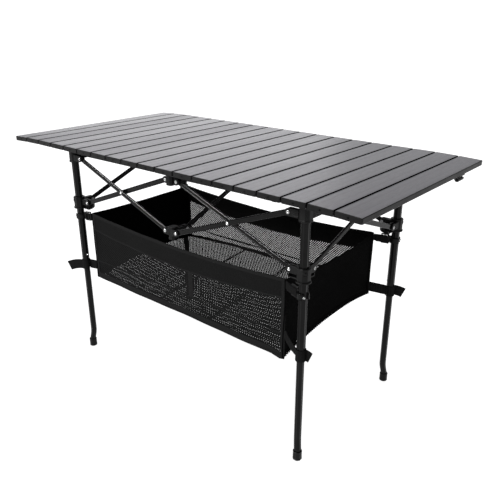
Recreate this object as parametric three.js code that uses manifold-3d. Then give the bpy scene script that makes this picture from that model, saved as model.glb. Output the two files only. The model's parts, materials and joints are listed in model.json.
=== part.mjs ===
// Roll-top camping table: a slatted top that lifts off and rolls up, on a frame of telescopic
// legs joined by scissor pairs, with a mesh basket hung between the legs. Millimetres, +Z up.
// The origin is on the ground under the middle of the top; +X runs along the top, -Y is the front.
import * as THREE from "three";
import { mergeVertices } from "three/addons/utils/BufferGeometryUtils.js";
import Module from "manifold-3d";

const wasm = await Module();
wasm.setup();

// Top
const TOP_LENGTH = 1200;
const TOP_WIDTH = 600;
const TOP_HEIGHT = 700;
const SLAT_COUNT = 19;
const SLAT_PITCH = TOP_LENGTH / SLAT_COUNT;
const SLAT_GAP = 2.8;
const SLAT_DEPTH = 13;
const SLAT_WALL = 1.6;
const SLAT_LIP = 5;
const END_CAP = 5;
const FREE_SLATS = 2; // slats past the legs at each end, which hang a little
const SLAT_DROOP = THREE.MathUtils.degToRad(1.2);

// Frame: every bar spans the same bay, so that all the scissors fold together
const BAY = 360;
const ARM = 40; // from a hub's middle to its rivet
const SHORT_ARM = 20; // the same on a middle hub, along the table
const LEG_X = BAY + ARM + SHORT_ARM;
const LEG_Y = BAY / 2 + ARM;
const TOP_PIN_Z = 645;
const LOW_PIN_Z = 508;
const BAR_WIDTH = 14;
const BAR_THICKNESS = 6;
const BAR_END = 8; // bar left over past its rivet
const TAB_THICKNESS = 4;
const CHEEK_THICKNESS = 3;
const ARM_RADIUS = 9;
const PIN_RADIUS = 2.5;
const HEAD_RADIUS = 4.5;
const HEAD_HEIGHT = 1.4;
const CLEARANCE = 0.4;
const BAR_OFFSET = TAB_THICKNESS / 2 + CLEARANCE + BAR_THICKNESS / 2;

// Legs: both tubes are squares with large cut corners
const UPPER_TUBE = 20.5;
const UPPER_CUT = 5.6;
const UPPER_WALL = 0.95;
const LOWER_TUBE = 17.8;
const LOWER_CUT = 4.9;
const LOWER_WALL = 1.4;
const UPPER_TUBE_BOTTOM = 305;
const LOWER_TUBE_TOP = 455;
const BEND_Z = 58;
const FOOT_OFFSET = 4.5; // how far the bent foot stands out, along X and along Y
const FOOT_WIDTH = 22;
const FOOT_HEIGHT = 25;

// Hubs and sliders
const HUB_TOP = TOP_HEIGHT - SLAT_DEPTH - CLEARANCE;
const HUB_WIDTH = 28;
const HUB_BOTTOM = 630;
const MIDDLE_WIDTH = 22;
const HUB_PLATE = 34;
const PLATE_THICKNESS = 4;
const SLIDER_WIDTH = 30;
const SLIDER_BOTTOM = 487;
const SLIDER_TOP = 523;
const WEB_RADIUS = 44; // of the quarter disc that ties a slider's two arms together
const COLLAR_RADIUS = 18;
const WEB_THICKNESS = 3;
const LOW_HUB_BOTTOM = 486;
const LOW_HUB_TOP = 522;
const BUTTON_RADIUS = 4;
const BUTTON_Z = 512;
const BUTTON_FACE = 17.4; // from the leg's axis
const BUTTON_LENGTH = 3.7;
const BUTTON_TRAVEL = 1.8;

// Basket: it hangs a little off-centre, its upper edges sag between the corners, and its corners
// are pulled down, so that its floor rises towards the rear and along its ends
const BASKET_LEFT = -384;
const BASKET_RIGHT = 360;
const BASKET_HALF_WIDTH = LEG_Y - 14;
const BASKET_BOTTOM = 256;
const BASKET_TOP = 472;
const BASKET_WALL = 3;
const BASKET_STEPS = 8;
const LONG_SAG = 17;
const END_SAG = 12;
const REAR_RISE = 22;
const REAR_ARCH = 20;
const END_ARCH = 12;

// Hook of the strap that ties the rolled top
const HOOK_Y = 175;
const HOOK_LENGTH = 34;
const HOOK_DEPTH = 16;
const HOOK_WIDTH = 14;

// Facets of the round surfaces
const PIN_SIDES = 10;
const PLUG_SIDES = 12;
const COLLAR_SIDES = 16;
const CURVE_SEGMENTS = 5;

const finish = (color, roughness, metalness) => () =>
  new THREE.MeshStandardMaterial({ color, roughness, metalness });
const anodised = finish(0x85848a, 0.42, 0.75);
const blackTube = finish(0x141416, 0.38, 0.5);
const blackPlastic = finish(0x0e0e0f, 0.55, 0);
const steel = finish(0xb9bcc0, 0.3, 1);
const blackFabric = finish(0x101011, 0.95, 0);

// ---- solids ----

function solid(geometry) {
  const bare = geometry.index ? geometry.toNonIndexed() : geometry.clone();
  bare.deleteAttribute("normal");
  bare.deleteAttribute("uv");
  const merged = mergeVertices(bare, 1e-4);
  return new wasm.Manifold(
    new wasm.Mesh({
      numProp: 3,
      vertProperties: new Float32Array(merged.attributes.position.array),
      triVerts: new Uint32Array(merged.index.array),
    }),
  );
}

function geometryOf(body) {
  const mesh = body.getMesh();
  const geometry = new THREE.BufferGeometry();
  geometry.setAttribute("position", new THREE.BufferAttribute(mesh.vertProperties, 3));
  geometry.setIndex(new THREE.BufferAttribute(mesh.triVerts, 1));
  geometry.computeVertexNormals();
  return geometry;
}

function meshOf(name, body, material) {
  const mesh = new THREE.Mesh(geometryOf(body), material);
  mesh.name = name;
  return mesh;
}

const join = (bodies) => bodies.reduce((sum, body) => sum.add(body));

/** A square with cut corners, which is also a tube's section. */
function octagon(width, cut) {
  const h = width / 2;
  const corners = [];
  for (const [sx, sy] of [[1, 1], [-1, 1], [-1, -1], [1, -1]]) {
    const pair = [[sx * h, sy * (h - cut)], [sx * (h - cut), sy * h]];
    corners.push(...(sx * sy > 0 ? pair : pair.reverse()));
  }
  return new THREE.Shape(corners.map(([x, y]) => new THREE.Vector2(x, y)));
}

/** A tube's outline, moved inwards by a wall or, where inset is negative, outwards by a gap. */
const tubeOutline = (width, cut, inset = 0) =>
  octagon(width - 2 * inset, cut - (2 - Math.SQRT2) * inset);

/** An outline drawn in X and Y, extruded from z0 up to z1. */
function upright(shape, z0, z1) {
  const settings = { depth: z1 - z0, bevelEnabled: false, curveSegments: CURVE_SEGMENTS };
  return new THREE.ExtrudeGeometry(shape, settings).translate(0, 0, z0);
}

/** An outline drawn in X and Z, extruded along Y from y0 to y1. */
function sideways(shape, y0, y1) {
  const settings = { depth: y1 - y0, bevelEnabled: false, curveSegments: CURVE_SEGMENTS };
  return new THREE.ExtrudeGeometry(shape, settings).rotateX(Math.PI / 2).translate(0, y1, 0);
}

/** A round pin along Y. */
const crossPin = (radius, x, z, y0, y1) =>
  new THREE.CylinderGeometry(radius, radius, y1 - y0, PIN_SIDES).translate(x, (y0 + y1) / 2, z);

function box(x0, x1, y0, y1, z0, z1) {
  const geometry = new THREE.BoxGeometry(x1 - x0, y1 - y0, z1 - z0);
  return geometry.translate((x0 + x1) / 2, (y0 + y1) / 2, (z0 + z1) / 2);
}

/** A straight strip with round ends, from x0 to x1 at height z. */
function stadium(x0, x1, z, radius, roundStart = true) {
  const shape = new THREE.Shape();
  shape.moveTo(x0, z - radius);
  shape.lineTo(x1 - radius, z - radius);
  shape.absarc(x1 - radius, z, radius, -Math.PI / 2, Math.PI / 2, false);
  shape.lineTo(x0, z + radius);
  if (roundStart) shape.absarc(x0, z, radius, Math.PI / 2, Math.PI * 1.5, false);
  return shape;
}

// ---- top ----

/** Where each slat rests: the middle of its upper face, and its tilt about Y. */
function slatPlaces() {
  const places = [];
  const middle = (SLAT_COUNT - 1) / 2;
  for (let i = 0; i < SLAT_COUNT; i++) {
    const side = Math.sign(i - middle);
    const hanging = Math.max(0, Math.abs(i - middle) - (middle - FREE_SLATS));
    let x = side * (TOP_LENGTH / 2 - FREE_SLATS * SLAT_PITCH);
    let z = TOP_HEIGHT;
    for (let n = 1; n < hanging; n++) {
      x += side * SLAT_PITCH * Math.cos(n * SLAT_DROOP);
      z -= SLAT_PITCH * Math.sin(n * SLAT_DROOP);
    }
    const tilt = hanging * SLAT_DROOP;
    if (hanging) {
      x += (side * SLAT_PITCH * Math.cos(tilt)) / 2;
      z -= (SLAT_PITCH * Math.sin(tilt)) / 2;
    } else {
      x = (i - middle) * SLAT_PITCH;
    }
    places.push({ x, z, tilt: side * tilt });
  }
  return places;
}

/** A channel open underneath, with lips along its lower edges and a cap in each end. */
function slatBody() {
  const w = (SLAT_PITCH - SLAT_GAP) / 2;
  const half = [
    [w - SLAT_LIP, -SLAT_DEPTH + SLAT_WALL],
    [w - SLAT_LIP, -SLAT_DEPTH],
    [w, -SLAT_DEPTH],
    [w, -1],
    [w - 1, 0],
  ];
  const inner = [[w - SLAT_WALL, -SLAT_WALL], [w - SLAT_WALL, -SLAT_DEPTH + SLAT_WALL]];
  const mirror = (points) => points.map(([x, z]) => [-x, z]).reverse();
  const outline = [...half, ...mirror(half), ...mirror(inner), ...inner];
  const section = new THREE.Shape(outline.map(([x, z]) => new THREE.Vector2(x, z)));
  const channel = solid(sideways(section, -TOP_WIDTH / 2, TOP_WIDTH / 2));
  const caps = [-1, 1].map((end) => {
    const edges = [end * (TOP_WIDTH / 2), end * (TOP_WIDTH / 2 - END_CAP)].sort((a, b) => a - b);
    return solid(box(-w + 1, w - 1, edges[0], edges[1], -SLAT_DEPTH, -0.5));
  });
  return join([channel, ...caps]);
}

function addTop(table) {
  const body = slatBody();
  const top = new THREE.Group();
  table.add(top);
  slatPlaces().forEach((place, i) => {
    const slat = meshOf(`slat_${String(i + 1).padStart(2, "0")}`, body, anodised());
    slat.position.set(place.x, 0, place.z);
    slat.rotation.y = place.tilt;
    top.add(slat);
  });
  const last = slatPlaces()[SLAT_COUNT - 1];
  const end = new THREE.Group();
  end.position.set(last.x, 0, last.z);
  end.rotation.y = last.tilt;
  end.add(rollHook());
  top.add(end);
}

/** A wedge under the last slat's edge that the closing strap hooks on. */
function rollHook() {
  const edge = SLAT_PITCH / 2 - SLAT_GAP;
  const z = -SLAT_DEPTH - 0.3;
  const outline = new THREE.Shape();
  outline.moveTo(edge - HOOK_WIDTH, z);
  outline.lineTo(edge - HOOK_WIDTH + 4, z - HOOK_DEPTH);
  outline.lineTo(edge - 4, z - HOOK_DEPTH);
  outline.lineTo(edge - 3, z - HOOK_DEPTH / 2);
  outline.lineTo(edge, z);
  const wedge = sideways(outline, HOOK_Y - HOOK_LENGTH / 2, HOOK_Y + HOOK_LENGTH / 2);
  return meshOf("roll_strap_hook", solid(wedge), blackPlastic());
}

// ---- frame ----

const posts = {
  front_left: { x: -LEG_X, y: -LEG_Y, corner: true },
  front_right: { x: LEG_X, y: -LEG_Y, corner: true },
  rear_left: { x: -LEG_X, y: LEG_Y, corner: true },
  rear_right: { x: LEG_X, y: LEG_Y, corner: true },
  front_middle: { x: 0, y: -LEG_Y, corner: false },
  rear_middle: { x: 0, y: LEG_Y, corner: false },
};

// Bar a falls from the first post to the second, on the side that out names. Bar b rises, on the
// other side.
const scissors = [
  { name: "front_left", from: "front_left", to: "front_middle", out: [0, -1] },
  { name: "front_right", from: "front_right", to: "front_middle", out: [0, -1] },
  { name: "rear_left", from: "rear_left", to: "rear_middle", out: [0, 1] },
  { name: "rear_right", from: "rear_right", to: "rear_middle", out: [0, 1] },
  { name: "left", from: "front_left", to: "rear_left", out: [-1, 0] },
  { name: "right", from: "front_right", to: "rear_right", out: [1, 0] },
  { name: "middle", from: "front_middle", to: "rear_middle", out: [-1, 0] },
];

/** Where a scissor runs in plan: its angle about Z, and which side of it bar a lies on. */
function course(scissor) {
  const from = posts[scissor.from];
  const to = posts[scissor.to];
  const angle = Math.atan2(to.y - from.y, to.x - from.x);
  const leftHand = [-Math.sin(angle), Math.cos(angle)];
  return { angle, side: Math.sign(leftHand[0] * scissor.out[0] + leftHand[1] * scissor.out[1]) };
}

/** The forks of one hub: each faces another post and holds one bar. */
function forksOf(postName, level) {
  const forks = [];
  for (const scissor of scissors) {
    const { angle, side } = course(scissor);
    const alongTable = Math.abs(Math.cos(angle)) > 0.5;
    const reach = !posts[postName].corner && alongTable ? SHORT_ARM : ARM;
    if (scissor.from === postName) {
      forks.push({ angle, side: level === "top" ? side : -side, reach });
    } else if (scissor.to === postName) {
      forks.push({ angle: angle + Math.PI, side: level === "top" ? side : -side, reach });
    }
  }
  return forks;
}

/** A tab and an outer cheek with a rivet through both; the bar's end turns between them. */
function forkBody({ angle, side, reach }, pinZ, rootX) {
  const tab = TAB_THICKNESS / 2;
  const cheek = BAR_OFFSET + BAR_THICKNESS / 2 + CLEARANCE;
  const outside = cheek + CHEEK_THICKNESS;
  const span = (a, b) => (side > 0 ? [a, b] : [-b, -a]);
  const arm = stadium(rootX, reach + ARM_RADIUS, pinZ, ARM_RADIUS, false);
  const plate = (a, b) => solid(sideways(arm, ...span(a, b)));
  const pin = (radius, a, b) => solid(crossPin(radius, reach, pinZ, ...span(a, b)));
  return join([
    plate(-tab, tab),
    plate(cheek, outside),
    pin(PIN_RADIUS, 0, outside + HEAD_HEIGHT),
    pin(HEAD_RADIUS, outside - 1, outside + HEAD_HEIGHT),
    pin(HEAD_RADIUS, -tab - HEAD_HEIGHT, 0),
  ]).rotate([0, 0, THREE.MathUtils.radToDeg(angle)]);
}

function forkBodies(postName, level, pinZ, rootX) {
  return forksOf(postName, level).map((fork) => forkBody(fork, pinZ, rootX));
}

/** Caps a leg: a socket for the tube, a flat plate under the slats and two forks. */
function cornerHub(postName) {
  const block = join([
    solid(upright(octagon(HUB_WIDTH, 7), HUB_BOTTOM, HUB_TOP)),
    solid(upright(octagon(HUB_PLATE, 9), HUB_TOP - PLATE_THICKNESS, HUB_TOP)),
    ...forkBodies(postName, "top", TOP_PIN_Z, 5),
  ]);
  const socket = upright(tubeOutline(UPPER_TUBE, UPPER_CUT, -CLEARANCE), HUB_BOTTOM - 1, HUB_TOP - 6);
  return block.subtract(solid(socket));
}

function middleTopHub(postName) {
  return join([
    solid(upright(octagon(MIDDLE_WIDTH, 5), HUB_BOTTOM + 4, HUB_TOP)),
    solid(upright(octagon(HUB_PLATE, 9), HUB_TOP - PLATE_THICKNESS, HUB_TOP)),
    ...forkBodies(postName, "top", TOP_PIN_Z, 5),
  ]);
}

function middleLowHub(postName) {
  return join([
    solid(upright(octagon(MIDDLE_WIDTH, 5), LOW_HUB_BOTTOM, LOW_HUB_TOP)),
    ...forkBodies(postName, "low", LOW_PIN_Z, 5),
  ]);
}

/** The way out from the table's middle at a corner post, as an angle about Z. */
const outward = (post) => Math.atan2(Math.sign(post.y), Math.sign(post.x));

/** A button-shaped solid across a corner, from d0 to d1 out from the leg's axis. */
function cornerPlug(post, radius, d0, d1) {
  const plug = new THREE.CylinderGeometry(radius, radius, d1 - d0, PLUG_SIDES)
    .rotateZ(-Math.PI / 2)
    .translate((d0 + d1) / 2, 0, BUTTON_Z)
    .rotateZ(outward(post));
  return solid(plug);
}

/** The web under a slider's arms: a quarter disc between them and a round collar. */
function sliderWeb(post) {
  const inward = outward(post) + Math.PI;
  const quarter = new THREE.Shape();
  quarter.moveTo(0, 0);
  quarter.absarc(0, 0, WEB_RADIUS, inward - Math.PI / 4, inward + Math.PI / 4, false);
  quarter.lineTo(0, 0);
  const top = SLIDER_BOTTOM + WEB_THICKNESS;
  const collar = new THREE.CylinderGeometry(COLLAR_RADIUS, COLLAR_RADIUS, WEB_THICKNESS, COLLAR_SIDES)
    .rotateX(Math.PI / 2)
    .translate(0, 0, SLIDER_BOTTOM + WEB_THICKNESS / 2);
  return [solid(upright(quarter, SLIDER_BOTTOM, top)), solid(collar)];
}

/** Rides on a leg: a sleeve with a web below, two forks and a recess for its button. */
function slider(postName) {
  const post = posts[postName];
  const sleeve = join([
    solid(upright(octagon(SLIDER_WIDTH, 8.5), SLIDER_BOTTOM, SLIDER_TOP)),
    ...sliderWeb(post),
    ...forkBodies(postName, "low", LOW_PIN_Z, 11.5),
  ]);
  const boreOutline = tubeOutline(UPPER_TUBE, UPPER_CUT, -CLEARANCE);
  const bore = solid(upright(boreOutline, SLIDER_BOTTOM - 1, SLIDER_TOP + 1));
  const floor = BUTTON_FACE - BUTTON_LENGTH - BUTTON_TRAVEL - CLEARANCE;
  const recess = cornerPlug(post, BUTTON_RADIUS + CLEARANCE, floor, BUTTON_FACE + 1);
  return sleeve.subtract(bore).subtract(recess);
}

function upperTube() {
  const top = HUB_TOP - 7;
  const inside = tubeOutline(UPPER_TUBE, UPPER_CUT, UPPER_WALL);
  return solid(upright(tubeOutline(UPPER_TUBE, UPPER_CUT), UPPER_TUBE_BOTTOM, top)).subtract(
    solid(upright(inside, UPPER_TUBE_BOTTOM - 1, top + 1)),
  );
}

/** The inner tube, its bent lower end and the foot it stands on. */
function lowerLeg(post) {
  const outline = tubeOutline(LOWER_TUBE, LOWER_CUT);
  const inside = tubeOutline(LOWER_TUBE, LOWER_CUT, LOWER_WALL);
  const tube = solid(upright(outline, BEND_Z, LOWER_TUBE_TOP)).subtract(
    solid(upright(inside, BEND_Z + 6, LOWER_TUBE_TOP + 1)),
  );
  const bend = upright(outline, FOOT_HEIGHT / 2, BEND_Z);
  const place = bend.attributes.position;
  const shift = { x: Math.sign(post.x) * FOOT_OFFSET, y: Math.sign(post.y) * FOOT_OFFSET };
  for (let i = 0; i < place.count; i++) {
    if (place.getZ(i) < BEND_Z - 1) {
      place.setXY(i, place.getX(i) + shift.x, place.getY(i) + shift.y);
    }
  }
  const foot = upright(octagon(FOOT_WIDTH, 6), 0, FOOT_HEIGHT).translate(shift.x, shift.y, 0);
  return join([tube, solid(bend), solid(foot)]);
}

/** A flat bar along X between its two rivets, on one side of the scissor's plane. */
function barBody(side, carriesRivet) {
  const length = Math.hypot(BAY, TOP_PIN_Z - LOW_PIN_Z);
  const near = BAR_OFFSET - BAR_THICKNESS / 2;
  const far = BAR_OFFSET + BAR_THICKNESS / 2;
  const span = (a, b) => (side > 0 ? [a, b] : [-b, -a]);
  const end = length / 2 + BAR_END;
  const outline = stadium(-end + BAR_WIDTH / 2, end, 0, BAR_WIDTH / 2);
  const hole = (x) => solid(crossPin(PIN_RADIUS + CLEARANCE, x, 0, ...span(near - 1, far + 1)));
  let bar = solid(sideways(outline, ...span(near, far)))
    .subtract(hole(-length / 2))
    .subtract(hole(length / 2));
  if (!carriesRivet) return bar.subtract(hole(0));
  const otherFace = -far - CLEARANCE;
  const parts = [
    crossPin(PIN_RADIUS, 0, 0, ...span(otherFace - HEAD_HEIGHT, far + HEAD_HEIGHT)),
    crossPin(HEAD_RADIUS, 0, 0, ...span(otherFace - HEAD_HEIGHT, otherFace)),
    crossPin(HEAD_RADIUS, 0, 0, ...span(far - 1, far + HEAD_HEIGHT)),
    crossPin(HEAD_RADIUS, 0, 0, ...span(-near + CLEARANCE, near + 1)),
  ];
  return join([bar, ...parts.map(solid)]);
}

function addScissor(frame, scissor) {
  const from = posts[scissor.from];
  const to = posts[scissor.to];
  const { angle, side } = course(scissor);
  const startReach = from.corner || Math.abs(Math.sin(angle)) > 0.5 ? ARM : SHORT_ARM;
  const slope = Math.atan2(TOP_PIN_Z - LOW_PIN_Z, BAY);
  const pair = new THREE.Group();
  const half = startReach + BAY / 2;
  const x = from.x + half * Math.cos(angle);
  const y = from.y + half * Math.sin(angle);
  pair.position.set(x, y, (TOP_PIN_Z + LOW_PIN_Z) / 2);
  pair.rotation.z = angle;
  const falling = meshOf(`bar_${scissor.name}_a`, barBody(side, true), blackTube());
  falling.rotation.y = slope;
  const rising = meshOf(`bar_${scissor.name}_b`, barBody(-side, false), blackTube());
  rising.rotation.y = -slope;
  pair.add(falling, rising);
  frame.add(pair);
}

function addPost(frame, postName) {
  const post = posts[postName];
  const group = new THREE.Group();
  group.position.set(post.x, post.y, 0);
  if (post.corner) {
    group.add(
      meshOf(`top_hub_${postName}`, cornerHub(postName), blackPlastic()),
      meshOf(`slider_${postName}`, slider(postName), blackPlastic()),
      meshOf(`upper_leg_${postName}`, upperTube(), blackTube()),
      meshOf(`lower_leg_${postName}`, lowerLeg(post), blackTube()),
      meshOf(
        `slider_button_${postName}`,
        cornerPlug(post, BUTTON_RADIUS, BUTTON_FACE - BUTTON_LENGTH, BUTTON_FACE),
        steel(),
      ),
    );
  } else {
    group.add(
      meshOf(`top_hub_${postName}`, middleTopHub(postName), blackPlastic()),
      meshOf(`low_hub_${postName}`, middleLowHub(postName), blackPlastic()),
    );
  }
  frame.add(group);
}

// ---- basket ----

/** The height of the floor's underside. */
function floorHeight(x, y) {
  const along = (2 * x - BASKET_LEFT - BASKET_RIGHT) / (BASKET_RIGHT - BASKET_LEFT);
  const across = (y / BASKET_HALF_WIDTH + 1) / 2;
  const rear = across * (REAR_RISE + REAR_ARCH * (1 - along * along));
  return BASKET_BOTTOM + rear + END_ARCH * 4 * across * (1 - across) * along * along;
}

/** An upright fabric wall from one corner to the next, over the edge of the floor. */
function fabricWall(from, to, sag, floorAt) {
  const outline = new THREE.Shape();
  outline.moveTo(from, floorAt(from));
  for (let i = 1; i <= BASKET_STEPS; i++) {
    const place = from + ((to - from) * i) / BASKET_STEPS;
    outline.lineTo(place, floorAt(place));
  }
  outline.lineTo(to, BASKET_TOP);
  outline.quadraticCurveTo((from + to) / 2, BASKET_TOP - 2 * sag, from, BASKET_TOP);
  return sideways(outline, 0, BASKET_WALL);
}

function longWall(y) {
  const wall = fabricWall(BASKET_LEFT, BASKET_RIGHT, LONG_SAG, (x) => floorHeight(x, y));
  return solid(wall.translate(0, y > 0 ? y - BASKET_WALL : y, 0));
}

function endWall(x) {
  const y = BASKET_HALF_WIDTH;
  const wall = fabricWall(-y, y, END_SAG, (place) => floorHeight(x, place));
  return solid(wall.rotateZ(Math.PI / 2).translate(x > 0 ? x : x + BASKET_WALL, 0, 0));
}

function basketFloor() {
  const length = BASKET_RIGHT - BASKET_LEFT;
  const width = 2 * BASKET_HALF_WIDTH;
  const sheet = new THREE.BoxGeometry(length, width, BASKET_WALL, BASKET_STEPS, BASKET_STEPS, 1);
  sheet.translate((BASKET_LEFT + BASKET_RIGHT) / 2, 0, BASKET_WALL / 2);
  const place = sheet.attributes.position;
  for (let i = 0; i < place.count; i++) {
    place.setZ(i, place.getZ(i) + floorHeight(place.getX(i), place.getY(i)));
  }
  return solid(sheet);
}

function addBasket(table) {
  const basket = join([
    basketFloor(),
    longWall(-BASKET_HALF_WIDTH),
    longWall(BASKET_HALF_WIDTH),
    endWall(BASKET_LEFT),
    endWall(BASKET_RIGHT),
  ]);
  table.add(meshOf("storage_basket", basket, blackFabric()));
}

const table = new THREE.Group();
addTop(table);
const frame = new THREE.Group();
table.add(frame);
Object.keys(posts).forEach((postName) => addPost(frame, postName));
scissors.forEach((scissor) => addScissor(frame, scissor));
addBasket(table);

export default table;
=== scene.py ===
"""Roll-top camping table: its looks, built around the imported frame.

Shapes are made in millimetres, in the frame of the CAD, and turned into metres when they become
Blender meshes. Front is -Y, the top runs along X, and the ground is at 0.
"""
import json
import math

import bmesh
import bpy
import numpy as np
from mathutils import Matrix, Vector


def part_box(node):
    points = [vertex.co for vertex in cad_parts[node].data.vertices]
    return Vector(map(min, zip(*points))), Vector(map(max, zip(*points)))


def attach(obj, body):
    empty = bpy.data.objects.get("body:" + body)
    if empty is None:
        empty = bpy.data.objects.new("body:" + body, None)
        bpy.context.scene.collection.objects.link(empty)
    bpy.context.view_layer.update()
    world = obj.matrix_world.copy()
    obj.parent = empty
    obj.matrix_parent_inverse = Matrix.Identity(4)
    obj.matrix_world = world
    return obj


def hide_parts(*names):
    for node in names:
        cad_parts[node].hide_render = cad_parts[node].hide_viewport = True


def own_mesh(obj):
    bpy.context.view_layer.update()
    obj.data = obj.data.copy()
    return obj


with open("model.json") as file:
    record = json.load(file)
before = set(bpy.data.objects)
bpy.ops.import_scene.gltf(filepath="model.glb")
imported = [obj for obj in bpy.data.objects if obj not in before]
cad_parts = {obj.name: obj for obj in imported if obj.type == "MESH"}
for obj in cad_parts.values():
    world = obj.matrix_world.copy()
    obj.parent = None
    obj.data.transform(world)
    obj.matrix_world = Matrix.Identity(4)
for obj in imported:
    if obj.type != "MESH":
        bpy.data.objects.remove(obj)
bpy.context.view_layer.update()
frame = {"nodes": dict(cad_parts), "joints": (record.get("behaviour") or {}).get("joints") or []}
joints = {j["name"]: j for j in frame["joints"]}

MM = 0.001
CORNERS = ("front_left", "front_right", "rear_left", "rear_right")

# Sizes the CAD has too, in millimetres
ARM, SHORT_ARM = 40, 20
BAR_END, BAR_WIDTH, BAR_NEAR, BAR_FAR = 8, 14, 2.4, 8.4
TAB, CHEEK, CHEEK_FACE = 2, 8.8, 11.8
ARM_RADIUS = 9
UPPER_TUBE, UPPER_CUT = 20.5, 5.6
LOWER_TUBE, LOWER_CUT = 17.8, 4.9
HUB_PLATE, PLATE_CUT = 34, 9
BEND_TOP, FOOT_SHIFT = 58, 4.5
END_CAP = 2

# The camera's place in metres, its turns in degrees and its lens in millimetres
CAMERA_PLACE = (1.0866, -1.1961, 1.0387)
CAMERA_PAN, CAMERA_DOWN, CAMERA_ROLL = 40.11, 21.992, 0.065
SENSOR_WIDTH, LENS = 36, 41.999

# The backdrop: the way to its bright side, where it fades, and its weakest and strongest light
BRIGHT_WAY = (-0.62, 0.70, -0.35)
FADE = (0.66, 0.93)
BACKDROP = (0.6, 1.45)

# Lamps: name, place, target and size in metres, watts, and whether rough surfaces see it too
LIGHTS = (
    ("key", (-3.2, 2.9, 1.9), (-0.2, 0, 0.7), (3.0, 1.4), 14, True),
    ("top", (0.2, 0.2, 3.4), (0, 0, 0.5), (3.0, 3.0), 26, True),
    ("edge", (-1.2, -2.9, 2.2), (0.1, -0.2, 0.6), (1.8, 0.5), 520, False),
)
FLOOR_REACH = 40  # metres from the middle of the floor to its edges


# ---- places, from the frame ----


def low(node):
    return [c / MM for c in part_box(node)[0]]


def high(node):
    return [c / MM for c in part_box(node)[1]]


def middle(node):
    return [(a + b) / 2 for a, b in zip(low(node), high(node))]


def joint_at(name):
    return [c / MM for c in joints[name]["pos_m"]]


POSTS = {c: middle(f"upper_leg_{c}")[:2] for c in CORNERS}
for end in ("front", "rear"):
    POSTS[f"{end}_middle"] = [0, POSTS[f"{end}_left"][1]]
TOP_PIN = joint_at("frame_fold")[2]
LOW_PIN = joint_at("low_hub_front_pivot")[2]
LEG_X = POSTS["rear_right"][0]
BAY = LEG_X - ARM - SHORT_ARM
HUB_TOP = high("top_hub_front_left")[2]
CORNER_ROOT, MIDDLE_ROOT = 11.5, 5  # where a fork's arms start, out from its post's middle

# name, first post, second post, and the side that bar a lies on
SCISSORS = (
    ("front_left", "front_left", "front_middle", (0, -1)),
    ("front_right", "front_right", "front_middle", (0, -1)),
    ("rear_left", "rear_left", "rear_middle", (0, 1)),
    ("rear_right", "rear_right", "rear_middle", (0, 1)),
    ("left", "front_left", "rear_left", (-1, 0)),
    ("right", "front_right", "rear_right", (1, 0)),
    ("middle", "front_middle", "rear_middle", (-1, 0)),
)


# ---- camera, light and floor ----


def show(obj):
    bpy.context.scene.collection.objects.link(obj)


def add_camera():
    data = bpy.data.cameras.new("camera")
    data.sensor_width, data.lens, data.clip_start = SENSOR_WIDTH, LENS, 0.05
    camera = bpy.data.objects.new("camera", data)
    place = Matrix.Translation(CAMERA_PLACE)
    for axis, degrees in (("Z", CAMERA_PAN), ("X", 90 - CAMERA_DOWN), ("Z", CAMERA_ROLL)):
        place = place @ Matrix.Rotation(math.radians(degrees), 4, axis)
    camera.matrix_world = place
    show(camera)
    bpy.context.scene.camera = camera


def add_light(name, place, target, size, watts, in_diffuse):
    data = bpy.data.lights.new(name, "AREA")
    data.shape, data.size, data.size_y = "RECTANGLE", size[0], size[1]
    data.energy = watts
    lamp = bpy.data.objects.new(name, data)
    away = Vector(place) - Vector(target)
    lamp.matrix_world = Matrix.Translation(place) @ away.to_track_quat("Z", "Y").to_matrix().to_4x4()
    lamp.visible_camera = False
    lamp.visible_diffuse = in_diffuse
    show(lamp)


def add_world():
    """A pale room, bright beyond the table's back left corner and dim behind the camera."""
    world = bpy.data.worlds.new("studio")
    world.use_nodes = True
    tree = world.node_tree
    way = add_node(tree, "ShaderNodeTexCoord").outputs["Generated"]
    toward = add_node(tree, "ShaderNodeVectorMath", {0: way, 1: BRIGHT_WAY}, operation="DOT_PRODUCT")
    share = toward.outputs["Value"]
    level = spread(tree, share, *BACKDROP, *FADE, interpolation_type="SMOOTHSTEP")
    back = tree.nodes["Background"]
    back.inputs["Color"].default_value = (0.98, 0.985, 1, 1)
    tree.links.new(level, back.inputs["Strength"])
    bpy.context.scene.world = world
    bpy.context.scene.view_settings.view_transform = "Standard"


# ---- materials ----


def add_node(tree, kind, inputs=None, **settings):
    node = tree.nodes.new(kind)
    for key, value in settings.items():
        setattr(node, key, value)
    for key, value in (inputs or {}).items():
        if isinstance(value, bpy.types.NodeSocket):
            tree.links.new(value, node.inputs[key])
        else:
            node.inputs[key].default_value = value
    return node


def grey(value):
    return (value, value, value, 1)


# The darkest and lightest tones of the black pieces
HARD_BLACK = grey(0.003), grey(0.007)
PALER_BLACK = grey(0.003), grey(0.008)
CLOTH_BLACK = grey(0.002), grey(0.008)


def new_material(name, **constants):
    made = bpy.data.materials.new(name)
    made.use_nodes = True
    tree = made.node_tree
    shader = tree.nodes["Principled BSDF"]
    for key, value in constants.items():
        shader.inputs[key.replace("_", " ")].default_value = value
    coords = add_node(tree, "ShaderNodeTexCoord").outputs["Object"]
    return made, tree, shader, coords


def noise(tree, coords, scale, detail=4.0, stretch=(1, 1, 1)):
    place = add_node(tree, "ShaderNodeMapping", {"Vector": coords, "Scale": stretch})
    found = add_node(
        tree,
        "ShaderNodeTexNoise",
        {"Vector": place.outputs["Vector"], "Scale": scale, "Detail": detail, "Roughness": 0.6},
    )
    return found.outputs["Fac"]


def spread(tree, value, lowest, highest, start=0.3, stop=0.7, **settings):
    found = add_node(
        tree,
        "ShaderNodeMapRange",
        {"Value": value, "From Min": start, "From Max": stop, "To Min": lowest, "To Max": highest},
        **settings,
    )
    return found.outputs["Result"]


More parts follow.
